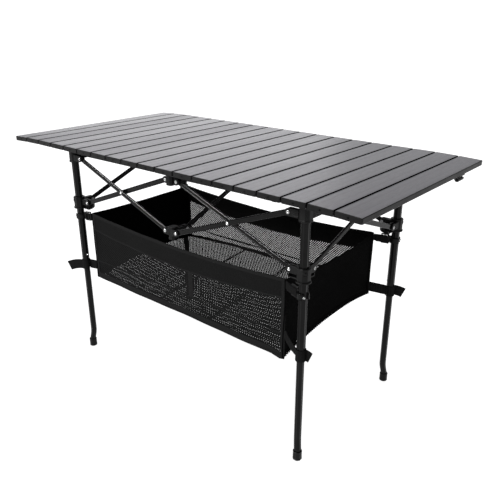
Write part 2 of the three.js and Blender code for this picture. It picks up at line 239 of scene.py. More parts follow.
def tint(tree, value, dark, light, start=0.3, stop=0.7):
    ramp = add_node(tree, "ShaderNodeValToRGB", {"Fac": value})
    first, last = ramp.color_ramp.elements
    first.position, first.color = start, dark
    last.position, last.color = stop, light
    return ramp.outputs["Color"]


def relief(tree, shader, height, distance, strength=1.0, under=None):
    inputs = {"Height": height, "Distance": distance, "Strength": strength}
    if under is not None:
        inputs["Normal"] = under
    bump = add_node(tree, "ShaderNodeBump", inputs)
    tree.links.new(bump.outputs["Normal"], shader.inputs["Normal"])
    return bump.outputs["Normal"]


def hard_material(name, rough, grain, stretch=(1, 1, 1), depth=0.00002, colors=HARD_BLACK, **constants):
    """Metal or moulded plastic: cloudy colour and roughness, and a fine grain in the surface."""
    made, tree, shader, coords = new_material(name, **constants)
    clouds = noise(tree, coords, 14, 5, stretch)
    fine = noise(tree, coords, grain, 6, stretch)
    tree.links.new(tint(tree, clouds, *colors), shader.inputs["Base Color"])
    mixed = add_node(tree, "ShaderNodeMath", {0: clouds, 1: fine}, operation="MULTIPLY")
    rough_here = spread(tree, mixed.outputs["Value"], rough[0], rough[1], 0.12, 0.42)
    tree.links.new(rough_here, shader.inputs["Roughness"])
    relief(tree, shader, fine, depth)
    return made


WAVE_SCALE = 0.31416  # a wave texture of this scale repeats once in a metre


def woven_material(name, axes, pitch, depth, colors=CLOTH_BLACK, rough=(0.8, 0.95), **constants):
    """Cloth or webbing with threads along two axes, given as their letters."""
    made, tree, shader, coords = new_material(name, **constants)
    waves = []
    for axis in axes:
        wave = add_node(
            tree,
            "ShaderNodeTexWave",
            {"Vector": coords, "Scale": WAVE_SCALE / pitch, "Distortion": 0.15, "Detail": 1.0},
            wave_type="BANDS",
            bands_direction=axis,
        )
        waves.append(wave.outputs["Fac"])
    crossed = add_node(tree, "ShaderNodeMath", {0: waves[0], 1: waves[1]}, operation="MULTIPLY")
    weave = crossed.outputs["Value"]
    slubs = noise(tree, coords, 60, 6)
    worn = add_node(tree, "ShaderNodeMath", {0: weave, 1: slubs}, operation="ADD")
    color = tint(tree, worn.outputs["Value"], *colors, 0.35, 1.4)
    tree.links.new(color, shader.inputs["Base Color"])
    tree.links.new(spread(tree, slubs, rough[0], rough[1]), shader.inputs["Roughness"])
    folds = relief(tree, shader, noise(tree, coords, 9, 3), 0.004, 0.35)
    relief(tree, shader, weave, depth, 0.8, folds)
    return made


ANODISED = hard_material(
    "anodised_aluminium",
    rough=(0.3, 0.48),
    grain=900,
    stretch=(1, 0.06, 1),
    depth=0.00003,
    colors=((0.098, 0.094, 0.104, 1), (0.158, 0.153, 0.166, 1)),
    Metallic=0.8,
)
BLACK_TUBE = hard_material(
    "black_tube", rough=(0.14, 0.26), grain=1600, stretch=(1, 1, 0.5), Specular_IOR_Level=0.1
)
BLACK_BAR = hard_material("black_bar", rough=(0.12, 0.24), grain=1500, Specular_IOR_Level=0.11)
BLACK_PLASTIC = hard_material(
    "black_plastic", (0.34, 0.55), 1200, depth=0.00004, colors=PALER_BLACK, Specular_IOR_Level=0.1
)
# Painted shade: dead black with no gloss, for the strips that darken the gaps between slats
GAP_SHADE_BLACK = hard_material(
    "painted_gap_shade", (0.75, 0.9), 900, colors=(grey(0.002), grey(0.005)), Specular_IOR_Level=0.0
)
STEEL = hard_material(
    "plated_steel", (0.2, 0.36), 2200, (1, 1, 0.3), colors=(grey(0.3), grey(0.42)), Metallic=1.0
)
# The basket's ends get a shaded copy of the same black cloth: painted shade, with its tone, gloss and
# sheen cut to 0.3
CLOTH = {
    axes: woven_material(
        f"black_cloth_{axes.lower()}",
        axes,
        pitch=0.0007,
        depth=0.00018,
        colors=(grey(0.002 * shade), grey(0.008 * shade)),
        Specular_IOR_Level=0.04 * shade,
        Sheen_Weight=0.015 * shade,
        Sheen_Roughness=0.5,
    )
    for axes, shade in (("XZ", 1), ("YZ", 0.3))
}
WEBBING = woven_material(
    "black_webbing", "XY", 0.0014, 0.0003, (grey(0.002), grey(0.009)), Specular_IOR_Level=0.05
)
BINDING = woven_material("black_binding", "XZ", 0.0009, 0.0002, Specular_IOR_Level=0.08)
NETTING = hard_material(
    "black_netting", (0.55, 0.8), 2500, depth=0.00005, colors=PALER_BLACK, Specular_IOR_Level=0.05
)


def add_floor():
    made, tree, shader, coords = new_material(
        "pale_floor", Specular_IOR_Level=0.0, Emission_Color=grey(1), Emission_Strength=0.84
    )
    clouds = noise(tree, coords, 0.8, 2)
    tree.links.new(tint(tree, clouds, grey(0.5), grey(0.53)), shader.inputs["Base Color"])
    tree.links.new(spread(tree, clouds, 0.8, 0.9), shader.inputs["Roughness"])
    mesh = bpy.data.meshes.new("floor")
    corners = [(x * FLOOR_REACH, y * FLOOR_REACH, 0) for x, y in ((-1, -1), (1, -1), (1, 1), (-1, 1))]
    mesh.from_pydata(corners, [], [(0, 1, 2, 3)])
    mesh.materials.append(made)
    floor = bpy.data.objects.new("floor", mesh)
    show(floor)


# ---- shapes: each is a list of points and a list of faces ----


def loft(rings, ring_closed=False):
    """Skins a row of rings of equal length. The ends are capped unless the row closes on itself."""
    count = len(rings[0])
    points = [tuple(p) for ring in rings for p in ring]
    faces = []
    for k in range(len(rings) if ring_closed else len(rings) - 1):
        a, b = k * count, (k + 1) % len(rings) * count
        for i in range(count):
            j = (i + 1) % count
            faces.append((a + i, a + j, b + j, b + i))
    if not ring_closed:
        faces.append(tuple(range(count))[::-1])
        faces.append(tuple(range((len(rings) - 1) * count, len(rings) * count)))
    return points, faces


def merged(parts):
    points, faces = [], []
    for part_points, part_faces in parts:
        start = len(points)
        points += part_points
        faces += [tuple(start + i for i in face) for face in part_faces]
    return points, faces


def moved(part, matrix):
    return [tuple(matrix @ Vector(p)) for p in part[0]], part[1]


def turned(profile, sides=24):
    """A profile of (radius, height) turned about Z."""
    rings = []
    for radius, height in profile:
        angles = [math.tau * i / sides for i in range(sides)]
        rings.append([(radius * math.cos(a), radius * math.sin(a), height) for a in angles])
    return loft(rings)


def soften(outline, radius, steps=3):
    """A 2-D outline with its corners rounded."""
    rounded = []
    for i, corner in enumerate(outline):
        here = Vector(corner)
        before, after = Vector(outline[i - 1]), Vector(outline[(i + 1) % len(outline)])
        reach = min(radius, 0.45 * (before - here).length, 0.45 * (after - here).length)
        start = here + (before - here).normalized() * reach
        stop = here + (after - here).normalized() * reach
        for k in range(steps + 1):
            t = k / steps
            rounded.append(tuple(start.lerp(here, t).lerp(here.lerp(stop, t), t)))
    return rounded


def octagon(width, cut, radius=1.4, steps=3):
    """A square as wide as width, its corners cut back by cut, with each new corner rounded."""
    h = width / 2
    c = h - cut
    corners = [(h, -c), (h, c), (c, h), (-c, h), (-h, c), (-h, -c), (-c, -h), (c, -h)]
    return soften(corners, radius, steps)


def at_height(outline, z):
    return [(x, y, z) for x, y in outline]


def spun(outline, angle):
    """A 2-D outline turned about the origin."""
    c, s = math.cos(angle), math.sin(angle)
    return [(x * c - y * s, x * s + y * c) for x, y in outline]


def inset(outline, depth):
    """A counter-clockwise outline moved inwards."""
    found = []
    for i, corner in enumerate(outline):
        here = Vector(corner)
        before = (here - Vector(outline[i - 1])).normalized()
        after = (Vector(outline[(i + 1) % len(outline)]) - here).normalized()
        normal_a, normal_b = Vector((-before.y, before.x)), Vector((-after.y, after.x))
        step = (normal_a + normal_b) / max(0.4, 1 + normal_a.dot(normal_b))
        found.append(tuple(here + step * depth))
    return found


def prism(outline, low_end, high_end, radius=0.5, axis="Z"):
    """An outline carried from low_end to high_end along Z, or along Y, with rounded rims."""
    rim = [(radius * (1 - math.sin(a)), radius * (1 - math.cos(a))) for a in (0, 0.8, math.pi / 2)]
    places = [(d, low_end + h) for d, h in rim] + [(d, high_end - h) for d, h in rim[::-1]]
    rings = []
    for depth, height in places:
        flat = inset(outline, depth)
        if axis == "Z":
            rings.append(at_height(flat, height))
        else:
            rings.append([(x, height, z) for x, z in flat])
    return loft(rings)


def sleeve(outer, inner, low_end, high_end, radius=0.5):
    """A tube between two outlines of the same number of points."""
    rim = ((radius, 0), (0.3 * radius, 0.3 * radius), (0, radius))
    rings = []
    for outline, sign, ends in ((outer, 1, (low_end, high_end)), (inner, -1, (high_end, low_end))):
        for k, end in enumerate(ends):
            up = -1 if end == low_end else 1
            for depth, height in rim[::-1] if k else rim:
                rings.append(at_height(inset(outline, sign * depth), end - up * height))
    return loft(rings, ring_closed=True)


def arc(cx, cy, radius, start, stop, steps=10):
    angles = [start + (stop - start) * i / steps for i in range(steps + 1)]
    return [(cx + radius * math.cos(a), cy + radius * math.sin(a)) for a in angles]


def stadium(x0, x1, z, radius):
    """A strip in X and Z with a round end at x1."""
    end = arc(x1 - radius, z, radius, -math.pi / 2, math.pi / 2, 12)
    return [(x0, z - radius), *end, (x0, z + radius)]


def box_outline(x0, x1, z0, z1):
    return [(x0, z0), (x1, z0), (x1, z1), (x0, z1)]


# ---- pieces ----


def make_mesh(name, points, faces, material):
    mesh = bpy.data.meshes.new(name)
    mesh.from_pydata((np.array(points, float) * MM).tolist(), [], faces)
    mesh.materials.append(material)
    mesh.polygons.foreach_set("use_smooth", [True] * len(mesh.polygons))
    mesh.update()
    return mesh


def place_piece(name, mesh, body, replaced=()):
    obj = bpy.data.objects.new(name, mesh)
    show(obj)
    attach(obj, body)
    if replaced:
        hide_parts(*replaced)
    return obj


def piece(name, parts, material, body, replaced=(), crease=52):
    """One object of closed shells, with its normals outwards and its wide faces flat."""
    points, faces = merged(parts)
    mesh = make_mesh(name, points, faces, material)
    work = bmesh.new()
    work.from_mesh(mesh)
    bmesh.ops.recalc_face_normals(work, faces=work.faces)
    work.to_mesh(mesh)
    work.free()
    mesh.set_sharp_from_angle(angle=math.radians(crease))
    obj = place_piece(name, mesh, body, replaced)
    even = obj.modifiers.new("even_normals", "WEIGHTED_NORMAL")
    even.keep_sharp = True
    return obj


# ---- top ----

SLAT_COUNT = len([n for n in frame["nodes"] if n.startswith("slat_")])
SLAT_HALF = (high("slat_10")[0] - low("slat_10")[0]) / 2
SLAT_DEPTH = high("slat_10")[2] - low("slat_10")[2]
SLAT_END = high("slat_10")[1]
SLAT_WALL, SLAT_LIP = 1.6, 5


def slat_places():
    """Each slat's matrix, from the hinges on both sides of it."""
    hinges = [joint_at(f"slat_hinge_{i:02d}") for i in range(1, SLAT_COUNT - 1)]
    hinges.append(joint_at("top_roll"))
    pitch = hinges[9][0] - hinges[8][0]
    for at_end, inner, outer in ((0, 1, 0), (len(hinges), -2, -1)):
        a, b = hinges[inner], hinges[outer]
        angle = 2 * math.atan2(b[2] - a[2], abs(b[0] - a[0]))
        side = math.copysign(1, b[0] - a[0])
        step = (side * pitch * math.cos(angle), 0, pitch * math.sin(angle))
        hinges.insert(len(hinges) if at_end else 0, [p + d for p, d in zip(b, step)])
    places = []
    for a, b in zip(hinges, hinges[1:]):
        tilt = math.atan2(a[2] - b[2], b[0] - a[0])
        centre = Matrix.Translation(((a[0] + b[0]) / 2, 0, (a[2] + b[2]) / 2))
        places.append(centre @ Matrix.Rotation(tilt, 4, "Y"))
    return places


def slat_section():
    """Half the section of a slat: its outer line from the lip up to a groove, and its inner line."""
    w, d = SLAT_HALF, SLAT_DEPTH
    outer = [(w - SLAT_LIP, SLAT_WALL - d), (w - SLAT_LIP, -d), (w - 0.6, -d), (w, 0.6 - d)]
    outer += [(w, -1.7), (w - 0.2, -0.9), (w - 0.7, -0.3), (w - 1.6, 0), (w - 3.4, 0)]
    outer += [(w - 3.8, -0.35), (w - 4.6, -0.35), (w - 5.0, 0)]
    groove = 0.36 * w
    outer += [(groove + 0.9, 0), (groove + 0.5, -0.22), (groove - 0.5, -0.22), (groove - 0.9, 0)]
    inner = [(w - SLAT_WALL, SLAT_WALL - d), (w - SLAT_WALL, -2.4), (w - 2.4, -SLAT_WALL)]
    return outer, inner


def shade_strip_section():
    """The section of the black strip along a slat's edge: painted shade that darkens the gap beside the
    slat.
    """
    w, d = SLAT_HALF, SLAT_DEPTH
    edge = [(w - 0.1, 0.8 - d), (w + 0.25, 0.8 - d), (w + 0.25, -1.7), (w + 0.05, -0.8)]
    return edge + [(w - 0.5, -0.15), (w - 1.7, 0.1), (w - 1.8, -0.3), (w - 0.4, -1.3)]


def cap_shapes():
    """Both end caps of a slat: each has a face, a plug inside the channel and a button."""
    w, d = SLAT_HALF, SLAT_DEPTH
    face = soften(box_outline(0.7 - w, w - 0.7, -d, 0), 2.4)
    plug = soften(box_outline(2.2 - w, w - 2.2, 2.2 - d, -2.2), 1)
    button = arc(0, -d / 2, 2.2, 0, math.tau * 0.95, 11)
    cap = [
        prism(face, SLAT_END - END_CAP, SLAT_END, 0.5, "Y"),
        prism(plug, SLAT_END - 14, SLAT_END - END_CAP + 0.5, 0.3, "Y"),
        prism(button, SLAT_END - 0.2, SLAT_END, 0.1, "Y"),
    ]
    return [moved(part, Matrix.Scale(side, 4, (0, 1, 0))) for side in (-1, 1) for part in cap]


def add_slats(places):
    outer, inner = slat_section()
    mirror = [(-x, z) for x, z in outer[::-1]]
    ring = outer + mirror + [(-x, z) for x, z in inner] + inner[::-1]
    ends = SLAT_END - END_CAP + 0.2
    channel = loft([[(x, y, z) for x, z in ring] for y in (-ends, -ends / 3, ends / 3, ends)])
    trim = loft([[(x, y, z) for x, z in shade_strip_section()] for y in (-ends, ends)])
    caps = cap_shapes()
    for i, matrix in enumerate(places, 1):
        body = f"slat_{i:02d}"
        piece(f"channel_{i:02d}", [moved(channel, matrix)], ANODISED, body, [body])
        # Painted shade: a black strip along each long edge of a slat. Between slats it darkens the gap;
        # on the outer edge of an end slat it goes in with the black caps and darkens the shaded side
        # face.
        plastic, gap_shade = list(caps), []
        for side in (-1, 1):
            lip = moved(trim, Matrix.Scale(side, 4, (1, 0, 0)))
            has_neighbour = 1 <= i + side <= SLAT_COUNT
            (gap_shade if has_neighbour else plastic).append(lip)
        piece(f"slat_caps_{i:02d}", [moved(p, matrix) for p in plastic], BLACK_PLASTIC, body)
        piece(f"slat_gap_shade_{i:02d}", [moved(p, matrix) for p in gap_shade], GAP_SHADE_BLACK, body)


def add_hook(last_slat):
    """The hook for the closing strap: a flat foot, a hanging plate and its turned-up lip."""
    w = SLAT_HALF
    outline = [(w - 14, -13.2), (w - 13, -24), (w - 9, -29), (w - 3.4, -29), (w - 1.6, -25.5)]
    outline += [(w - 2.6, -22), (w - 5.5, -22.5), (w - 6.5, -18), (w - 1, -16.5), (w - 1, -13.2)]
    y0, y1 = low("roll_strap_hook")[1], high("roll_strap_hook")[1]
    hook = prism(soften(outline, 0.8, 2), y0, y1, 0.6, "Y")
    parts = [moved(hook, last_slat)]
    piece("strap_hook", parts, BLACK_PLASTIC, "slat_19", ["roll_strap_hook"])


# ---- hubs and sliders ----


def course(scissor):
    """A scissor's angle in plan, and the side of it that bar a lies on."""
    _, first, second, out = scissor
    (x0, y0), (x1, y1) = POSTS[first], POSTS[second]
    angle = math.atan2(y1 - y0, x1 - x0)
    side = math.copysign(1, -math.sin(angle) * out[0] + math.cos(angle) * out[1])
    return angle, side


def forks_of(post, is_top):
    """Where each fork of a hub stands: a matrix whose X runs out along it, and its reach."""
    found = []
    for scissor in SCISSORS:
        if post not in scissor[1:3]:
            continue
        angle, side = course(scissor)
        short = post.endswith("middle") and abs(math.cos(angle)) > 0.5
        if scissor[2] == post:
            angle += math.pi
        mirror = Matrix.Scale(side if is_top else -side, 4, (0, 1, 0))
        place = Matrix.Translation((*POSTS[post], 0)) @ Matrix.Rotation(angle, 4, "Z") @ mirror
        found.append((place, SHORT_ARM if short else ARM))
    return found


RIVET_HEAD = ((4.5, -0.3), (4.5, 0.35), (4.1, 0.95), (3.3, 1.3), (2.5, 1.35), (1.9, 0.9), (1.6, 0.1))
ALONG_Y = Matrix.Rotation(-math.pi / 2, 4, "X")


def rivet(x, z, front, back):
    """A tubular rivet along Y whose heads sit on the faces at front and at back."""
    head = turned([*RIVET_HEAD, (0.05, 0.0)], 20)
    shank = turned([(2.5, back - front), (2.5, 0)], 16)
    at = Matrix.Translation((x, front, z)) @ ALONG_Y
    other = Matrix.Translation((x, back, z)) @ Matrix.Rotation(math.pi / 2, 4, "X")
    return [moved(head, at), moved(head, other), moved(shank, at)]


def fork_shapes(place, reach, root, pin_z):
    """A fork's two plates with their bosses, the block that joins them, and the rivet."""
    arm = soften(stadium(root, reach + ARM_RADIUS, pin_z, ARM_RADIUS), 0.4, 1)
    boss = ((6.6, -0.4), (6.6, 0.25), (6.1, 0.5), (5.0, 0.5), (4.8, 0.1), (0.05, 0.1))
    parts = [prism(arm, -TAB, TAB, 0.5, "Y"), prism(arm, CHEEK, CHEEK_FACE, 0.5, "Y")]
    at = Matrix.Translation((reach, CHEEK_FACE - 0.1, pin_z)) @ ALONG_Y
    parts.append(moved(turned(boss, 24), at))
    if reach > SHORT_ARM:
        block = box_outline(root, reach - ARM_RADIUS - 2, pin_z - 8, pin_z + 8)
        parts.append(prism(block, 1, CHEEK + 1, 0.4, "Y"))
        for z in (pin_z - 5, pin_z, pin_z + 5):
            rib = box_outline(root, reach - ARM_RADIUS - 1, z - 0.8, z + 0.8)
            parts.append(prism(rib, CHEEK_FACE - 0.5, CHEEK_FACE + 0.9, 0.3, "Y"))
    else:
        washer = turned([(5, CHEEK - BAR_FAR), (5, 0)], 20)
        parts.append(moved(washer, Matrix.Translation((reach, BAR_FAR + 0.05, pin_z)) @ ALONG_Y))
    shapes = [moved(part, place) for part in parts]
    pins = [moved(part, place) for part in rivet(reach, pin_z, CHEEK_FACE, -TAB)]
    return shapes, pins


def fork_parts(post, is_top, root, pin_z):
    """The shapes and the rivets of all forks of a hub."""
    shapes, pins = [], []
    for place, reach in forks_of(post, is_top):
        more_shapes, more_pins = fork_shapes(place, reach, root, pin_z)
        shapes += more_shapes
        pins += more_pins
    return shapes, pins


def flared_plate(width, cut, bottom, bored):
    """The block under the slats: a post that widens into a flat plate, bored for a tube."""
    top = HUB_TOP
    rings = []
    if bored:
        bore = octagon(UPPER_TUBE + 0.1, UPPER_CUT)
        rings += [at_height(bore, z) for z in (top - 4, bottom)]
    # width, corner cut, height, and how far the ring is moved inwards
    core = ((bottom, 0.9), (bottom + 0.4, 0.35), (bottom + 1, 0), (top - 16, 0))
    levels = [(width, cut, z, d) for z, d in core]
    levels.append((width + 1, cut + 0.4, top - 12, 0))
    levels.append((HUB_PLATE - 1.5, PLATE_CUT - 0.5, top - 6, 0))
    plate = ((top - 4, 0), (top - 0.8, 0), (top - 0.2, 0.3), (top, 0.9))
    levels += [(HUB_PLATE, PLATE_CUT, z, d) for z, d in plate]
    rings += [at_height(inset(octagon(w, c), d), z) for w, c, z, d in levels]
    return loft(rings)


def outward(post):
    x, y = POSTS[post]
    return math.atan2(math.copysign(1, y), math.copysign(1, x))


def at_post(post, z=0.0):
    return Matrix.Translation((*POSTS[post], z))


def add_top_hubs():
    for post in POSTS:
        node = f"top_hub_{post}"
        corner = post in CORNERS
        width, cut, root = (28, 7, CORNER_ROOT) if corner else (22, 5, MIDDLE_ROOT)
        shapes, pins = fork_parts(post, True, root, TOP_PIN)
        bottom = low(node)[2] if corner else TOP_PIN - 11
        shapes.append(moved(flared_plate(width, cut, bottom, corner), at_post(post)))
        if corner:
            bore = octagon(UPPER_TUBE + 0.1, UPPER_CUT)
            lip = sleeve(octagon(width + 1.6, cut + 0.4), bore, bottom, bottom + 5, 0.6)
            shapes.append(moved(lip, at_post(post)))
            body = f"leg_{post}"
        else:
            body = post.replace("middle", "hub")
        for turn in range(4):
            rib = prism(box_outline(-1.2, 1.2, root, width / 2 + 1.2), bottom + 6, HUB_TOP - 5, 0.4)
            spin = Matrix.Rotation(math.pi / 4 + turn * math.pi / 2, 4, "Z")
            shapes.append(moved(rib, at_post(post) @ spin))
        piece(f"top_block_{post}", shapes, BLACK_PLASTIC, body, [node])
        piece(f"top_rivets_{post}", pins, STEEL, body, ())


def add_low_hubs():
    for end in ("front", "rear"):
        post, node = f"{end}_middle", f"low_hub_{end}_middle"
        body = f"low_hub_{end}"
        shapes, pins = fork_parts(post, False, MIDDLE_ROOT, LOW_PIN)
        z0, z1 = low(node)[2], high(node)[2]
        core = prism(octagon(22, 5), z0, z1, 0.9)
        collars = [prism(octagon(24, 5.6), z, z + 4, 0.6) for z in (z0 + 1, z1 - 5)]
        shapes += [moved(part, at_post(post)) for part in (core, *collars)]
        piece(f"low_block_{end}", shapes, BLACK_PLASTIC, body, [node])
        piece(f"low_rivets_{end}", pins, STEEL, body, ())


SLIDER_DROP, COLLAR = 21, 18  # a slider's depth below its pins, and the radius of its flange
BUTTON_RING = ((7.4, 12), (7.2, 15.6), (6.6, 16.3), (5.2, 16.3), (4.6, 15.8), (4.5, 13.2), (4.5, 12))
BUTTON_DOME = ((4, 15.4), (4, 16.3), (3.7, 16.9), (2.9, 17.25), (1.6, 17.38), (0.05, 17.4))


def slider_web(post, z0):
    """The quarter ring between a slider's arms, with a rim and two ribs standing on it."""
    inner, rim_inner, outer = 13.5, 41.8, 44
    middle_angle = outward(post) + math.pi
    start, stop = middle_angle - math.pi / 4, middle_angle + math.pi / 4
    edge = arc(0, 0, outer, start, stop, 18)
    disc = edge + arc(0, 0, inner, stop, start, 18)
    rim = edge + arc(0, 0, rim_inner, stop, start, 18)
    parts = [prism(disc, z0, z0 + 3, 0.5), prism(rim, z0 + 2, z0 + 9, 0.5)]
    for angle in (middle_angle - 0.26, middle_angle + 0.26):
        rib = spun(box_outline(12, 42.5, -0.9, 0.9), angle)
        parts.append(prism(rib, z0 + 2, z0 + 7, 0.3))
    return parts


def add_sliders():
    bore = octagon(UPPER_TUBE + 0.8, UPPER_CUT + 0.2)
    collar = [(COLLAR * math.cos(a), COLLAR * math.sin(a)) for a in np.linspace(0, math.tau, 33)[:-1]]
    collar_bore = soften(octagon(UPPER_TUBE + 2, UPPER_CUT, 0.2, 1), 0.1, 1)
    for post in CORNERS:
        node = f"slider_{post}"
        z0, z1 = joint_at(f"slider_{post}_pivot")[2] - SLIDER_DROP, high(node)[2]
        shapes, pins = fork_parts(post, False, CORNER_ROOT, LOW_PIN)
        local = [
            sleeve(octagon(30, 8.5), bore, z0, z1, 0.6),
            sleeve(octagon(32, 9.2), bore, z1 - 5, z1 - 0.6, 0.5),
            sleeve(collar, collar_bore, z0, z0 + 3.6, 0.5),
            *slider_web(post, z0),
        ]
        shapes += [moved(part, at_post(post)) for part in local]
        button = middle(f"slider_button_{post}")
        out = at_post(post, button[2]) @ Matrix.Rotation(outward(post), 4, "Z")
        out = out @ Matrix.Rotation(math.pi / 2, 4, "Y")
        shapes.append(moved(turned(BUTTON_RING, 28), out))
        piece(f"sleeve_{post}", shapes, BLACK_PLASTIC, node, [node])
        piece(f"slider_rivets_{post}", pins, STEEL, node, ())
        dome = [moved(turned(BUTTON_DOME, 28), out)]
        replaced = [f"slider_button_{post}"]
        piece(f"press_button_{post}", dome, BLACK_BAR, f"button_{post}", replaced)


# ---- scissor bars ----


WASHER = 4.6  # thickness of the washer between two bars


def bar_ring(x, half_width, half_thickness, groove):
    """A flat oval section with two shallow grooves along each broad face."""
    y_mid = (BAR_NEAR + BAR_FAR) / 2
    r = min(half_thickness, half_width)
    flat = half_width - r
    depth = groove * min(1, flat / (BAR_WIDTH / 2 - 3))
    steps = [(1.0, 0), (0.86, 0), (0.74, 1), (0.5, 1), (0.38, 0)]
    across = [(-s * flat, g) for s, g in steps] + [(s * flat, g) for s, g in steps[::-1]]
    side = [(z, half_thickness - g * depth) for z, g in across]
    angles = np.linspace(0, math.pi, 9)[1:-1]
    turn = [(flat + r * math.sin(a), half_thickness * math.cos(a)) for a in angles]
    loop = side + turn + [(-z, -t) for z, t in side + turn]
    return [(x, y_mid + t, z) for z, t in loop]


def bar_shape(length):
    """A bar along X about its middle, pressed flatter towards its round ends."""
    end = length / 2 + BAR_END
    pressed, full, groove = 2.1, (BAR_FAR - BAR_NEAR) / 2, 0.55
    rings = []
    for d in (0.12, 0.5, 1.2, 2.2, 3.6, 5.2, 7, 15, 19, 23, 27, 31):
        rounding = max(0, 1 - d / (BAR_WIDTH / 2))
        wide = BAR_WIDTH / 2 * math.sqrt(1 - rounding * rounding)
        t = min(1, max(0, (d - 15) / 14))
        t = t * t * (3 - 2 * t)
        rings.append((d - end, wide, pressed + (full - pressed) * t, groove * t))
    rings += [(x, BAR_WIDTH / 2, full, groove) for x in (-120, -60, -16, -8, 0)]
    rings += [(-x, w, t, g) for x, w, t, g in rings[-2::-1]]
    return loft([bar_ring(*ring) for ring in rings])


def add_bars():
    rise = TOP_PIN - LOW_PIN
    slope = math.atan2(rise, BAY)
    shape = bar_shape(math.hypot(BAY, rise))
    across = Matrix.Translation((0, WASHER / 2, 0)) @ Matrix.Rotation(math.pi / 2, 4, "X")
    washer = moved(turned([(5.5, 0), (5.5, WASHER)], 24), across)
    for scissor in SCISSORS:
        name, first = scissor[:2]
        angle, side = course(scissor)
        x, y = POSTS[first]
        half = ARM + BAY / 2
        place = (x + half * math.cos(angle), y + half * math.sin(angle), (TOP_PIN + LOW_PIN) / 2)
        pair = Matrix.Translation(place) @ Matrix.Rotation(angle, 4, "Z")
        for letter, tilt, hand in (("a", slope, side), ("b", -slope, -side)):
            node = f"bar_{name}_{letter}"
            at = pair @ Matrix.Rotation(tilt, 4, "Y") @ Matrix.Scale(hand, 4, (0, 1, 0))
            piece(f"strut_{name}_{letter}", [moved(shape, at)], BLACK_BAR, node, [node])
            if letter == "a":
                pins = [moved(p, at) for p in rivet(0, 0, BAR_FAR, -BAR_FAR - 0.4)]
                piece(f"cross_rivet_{name}", pins, STEEL, node, ())
                piece(f"cross_washer_{name}", [moved(washer, at)], BLACK_PLASTIC, node)


# ---- legs ----


TUBE_WALL = 0.95
SNAP_UP = 28  # the snap button's height above the upper tube's lower end
SNAP_BUTTON = ((4.2, 9.6), (4.2, 10.6), (3.4, 10.9), (2.9, 10.6), (2.8, 11.6), (2, 12.4), (0.05, 12.7))


def tube_outline(width, cut, groove):
    """A softened octagon with a shallow groove down the middle of each of its wide faces."""
    h = width / 2
    c = h - cut
    quarter = [(h, -c + 0.9), (h, -1.9), (h - groove, -1.2), (h - groove, 1.2), (h, 1.9), (h, c - 0.9)]
    quarter += [(h - 0.25, c - 0.15), (h - 0.75, c + 0.55)]
    quarter += [(c + 0.55, h - 0.75), (c - 0.15, h - 0.25)]
    return [point for turn in range(4) for point in spun(quarter, turn * math.pi / 2)]


def add_upper_leg(post):
    """The upper tube, and the snap button on the side that faces the middle of the table."""
    node, body = f"upper_leg_{post}", f"leg_{post}"
    z0, z1 = low(node)[2], high(node)[2]
    outer = tube_outline(UPPER_TUBE, UPPER_CUT, 0.5)
    tube = sleeve(outer, inset(outer, TUBE_WALL), z0, z1, 0.25)
    piece(f"outer_tube_{post}", [moved(tube, at_post(post))], BLACK_TUBE, body, [node])
    inwards = Matrix.Rotation(math.copysign(math.pi / 2, -POSTS[post][0]), 4, "Y")
    snap = moved(turned(SNAP_BUTTON, 20), at_post(post, z0 + SNAP_UP) @ inwards)
    piece(f"snap_button_{post}", [snap], STEEL, body, ())


def add_lower_leg(post):
    """The lower tube, whose lower end bends outwards, and the foot on it."""
    node = f"lower_leg_{post}"
    shift = [math.copysign(FOOT_SHIFT, c) for c in POSTS[post]]
    outline = tube_outline(LOWER_TUBE, LOWER_CUT, 0.4)
    # heights, each with the share of the foot's shift that the tube has there
    bend = [(high(node)[2], 0), (BEND_TOP + 6, 0), (BEND_TOP, 0.03), (50, 0.16), (42, 0.4)]
    bend += [(34, 0.68), (26, 0.9), (12, 1)]
    rings = [[(x + shift[0] * t, y + shift[1] * t, z) for x, y in outline] for z, t in bend]
    tube = [moved(loft(rings), at_post(post))]
    piece(f"inner_tube_{post}", tube, BLACK_TUBE, node, [node])
    at_foot = at_post(post) @ Matrix.Translation((*shift, 0))
    boot, tread = octagon(21.4, 5.8, 1.6), octagon(22, 6, 1.6)
    parts = [prism(boot, 1, 25, 1.2), prism(tread, 0, 5, 1), prism(tread, 21, 25, 0.9)]
    piece(f"foot_{post}", [moved(p, at_foot) for p in parts], BLACK_PLASTIC, node, ())


# ---- basket ----

LEFT, _, BOTTOM = low("storage_basket")
RIGHT, HALF, RIM = high("storage_basket")
LONG_SAG, REAR_RISE, REAR_ARCH, END_ARCH = 17, 22, 20, 20
BAND_DEPTH, BAND_SAG = 51, 27
END_SAG = {-1: 4, 1: 20}
CLOTH_SKIN = 1.0
KNOT_LIFT = 0.22  # how far the net's knots stand out of its plane, to either side
BASKET, FABRIC = ["storage_basket"], "basket_fabric"  # the node that is replaced, and its slot


def along(x):
    return (2 * x - LEFT - RIGHT) / (RIGHT - LEFT)


def floor_z(x, y):
    """The floor: its corners are pulled down, so it rises to the rear and along its ends."""
    u, t = along(x), (y / HALF + 1) / 2
    rear = t * (REAR_RISE + REAR_ARCH * (1 - u * u))
    return BOTTOM + 1 + rear + END_ARCH * 4 * t * (1 - t) * u * u


def hem_z(x, y):
    """The lower edge of a long wall. The front one droops a little at its right end."""
    droop = 5 * math.exp(-(((x - RIGHT + 16) / 13) ** 2)) if y < 0 else 0
    return floor_z(x, y) - droop


def rim_z(x):
    return RIM - 1 - LONG_SAG * (1 - along(x) ** 2)


def band_z(x):
    """The lower edge of the cloth band along a long side."""
    return RIM - BAND_DEPTH - BAND_SAG * (1 - along(x) ** 2)


def seam_z(x):
    """The seam across the net of a long side."""
    return BOTTOM + 64 + 4 * along(x)


def end_rim_z(y, side):
    return RIM - 1 - END_SAG[side] * (1 - (y / HALF) ** 2)


